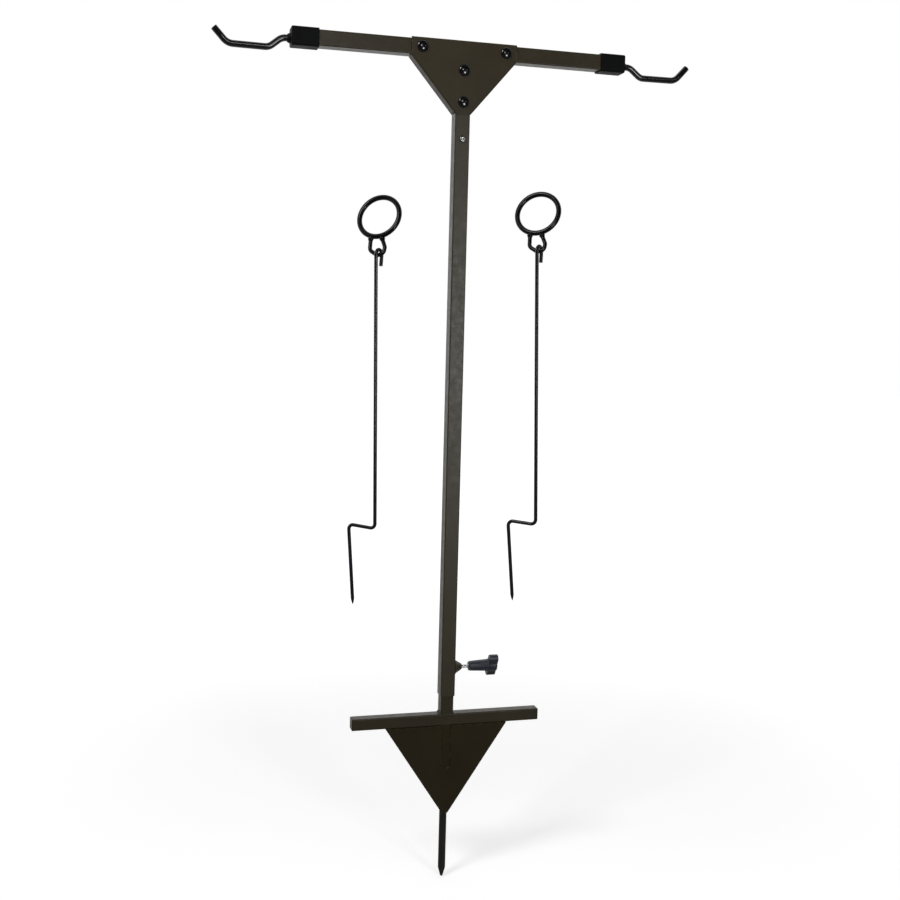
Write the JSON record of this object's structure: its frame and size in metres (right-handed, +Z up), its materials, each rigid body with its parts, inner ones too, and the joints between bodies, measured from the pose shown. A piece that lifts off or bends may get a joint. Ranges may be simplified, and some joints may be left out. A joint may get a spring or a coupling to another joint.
{
  "type": "target stand",
  "caption": "T-shaped ground stand with telescoping square post, bolted gusset, hooks at the bar ends, step bar, spade and spike, plus ring stakes.",
  "frame": {"origin": "on the post's axis at the underside of the step bar, which is ground level", "axes": "+Z up along the post, +X to the right along the crossbar as the picture shows it, the front faces -Y"},
  "size_m": [0.8022, 0.1251, 1.4138],
  "materials": {
    "clamp_boss": "dark olive powder coat, fine texture",
    "clamp_knob": "moulded black plastic",
    "clamp_screw": "bright zinc plate",
    "crossbar": "dark olive powder coat, fine texture",
    "end_cap_left": "matte black",
    "end_cap_right": "matte black",
    "ground_spike": "dark mill finish",
    "gusset_back": "dark olive powder coat, fine texture",
    "gusset_bolt_left": "gloss black",
    "gusset_bolt_lower": "gloss black",
    "gusset_bolt_right": "gloss black",
    "gusset_bolt_upper": "gloss black",
    "gusset_front": "dark olive powder coat, fine texture",
    "gusset_nut_left": "bright zinc plate",
    "gusset_nut_lower": "bright zinc plate",
    "gusset_nut_right": "bright zinc plate",
    "gusset_nut_upper": "bright zinc plate",
    "gusset_washer_left": "bright zinc plate",
    "gusset_washer_lower": "bright zinc plate",
    "gusset_washer_right": "bright zinc plate",
    "gusset_washer_upper": "bright zinc plate",
    "hook_insert_left": "dark mill finish",
    "hook_insert_right": "dark mill finish",
    "hook_left": "gloss black enamel",
    "hook_right": "gloss black enamel",
    "inner_tube": "dark olive powder coat, fine texture",
    "left_link": "black oxide, oiled",
    "left_ring": "black oxide, oiled",
    "left_rod": "darkened steel wire",
    "post_tube": "dark olive powder coat, fine texture",
    "right_link": "black oxide, oiled",
    "right_ring": "black oxide, oiled",
    "right_rod": "darkened steel wire",
    "spade_plate": "dark olive powder coat, fine texture",
    "step_bar": "dark olive powder coat, fine texture",
    "step_plug_left": "dark olive powder coat, fine texture",
    "step_plug_right": "dark olive powder coat, fine texture",
    "stop_screw": "bright zinc plate"
  },
  "bodies": {
    "base": {"ground_spike": "ground_spike", "spade_plate": "spade_plate", "step_bar": "step_bar", "step_plug_left": "step_plug_left", "step_plug_right": "step_plug_right", "inner_tube": "inner_tube"},
    "mast": {"post_tube": "post_tube", "crossbar": "crossbar", "gusset_front": "gusset_front", "gusset_back": "gusset_back", "gusset_bolt_left": "gusset_bolt_left", "gusset_bolt_right": "gusset_bolt_right", "gusset_bolt_upper": "gusset_bolt_upper", "gusset_bolt_lower": "gusset_bolt_lower", "gusset_washer_left": "gusset_washer_left", "gusset_washer_right": "gusset_washer_right", "gusset_washer_upper": "gusset_washer_upper", "gusset_washer_lower": "gusset_washer_lower", "gusset_nut_left": "gusset_nut_left", "gusset_nut_right": "gusset_nut_right", "gusset_nut_upper": "gusset_nut_upper", "gusset_nut_lower": "gusset_nut_lower", "hook_insert_left": "hook_insert_left", "hook_insert_right": "hook_insert_right", "end_cap_left": "end_cap_left", "end_cap_right": "end_cap_right", "hook_left": "hook_left", "hook_right": "hook_right", "stop_screw": "stop_screw", "clamp_boss": "clamp_boss"},
    "clamp_screw": {"clamp_screw": "clamp_screw"},
    "clamp_knob": {"clamp_knob": "clamp_knob"},
    "left_ring_and_link": {"left_ring": "left_ring", "left_link": "left_link"},
    "left_rod": {"left_rod": "left_rod"},
    "right_ring_and_link": {"right_ring": "right_ring", "right_link": "right_link"},
    "right_rod": {"right_rod": "right_rod"}
  },
  "joints": [
    {"name": "mast_height", "type": "slide", "parent": "base", "child": "mast", "axis": [0, 0, 1], "range_m": [0, 0.75]},
    {"name": "clamp_travel", "type": "slide", "parent": "mast", "child": "clamp_screw", "axis": [1, 0, 0], "range_m": [0, 0.003]},
    {"name": "clamp_turn", "type": "hinge", "parent": "clamp_screw", "child": "clamp_knob", "pos_m": [0.0385, 0, 0.1], "axis": [1, 0, 0], "range_deg": [0, 1080]},
    {"name": "left_stake_lift", "type": "slide", "parent": "base", "child": "left_ring_and_link", "axis": [0, 0, 1], "range_m": [0, 0.15]},
    {"name": "left_rod_swing", "type": "hinge", "parent": "left_ring_and_link", "child": "left_rod", "pos_m": [-0.1258, 0.03, 0.7951], "axis": [0.8039, -0.5948, 0], "range_deg": [-150, 110]},
    {"name": "right_stake_lift", "type": "slide", "parent": "base", "child": "right_ring_and_link", "axis": [0, 0, 1], "range_m": [0, 0.15]},
    {"name": "right_rod_swing", "type": "hinge", "parent": "right_ring_and_link", "child": "right_rod", "pos_m": [0.1324, -0.03, 0.808], "axis": [0.8039, -0.5948, 0], "range_deg": [-150, 110]}
  ],
  "couplings": [
    {"joint": "clamp_turn", "follows": "clamp_travel", "rad_per_m": 6283.2}
  ]
}
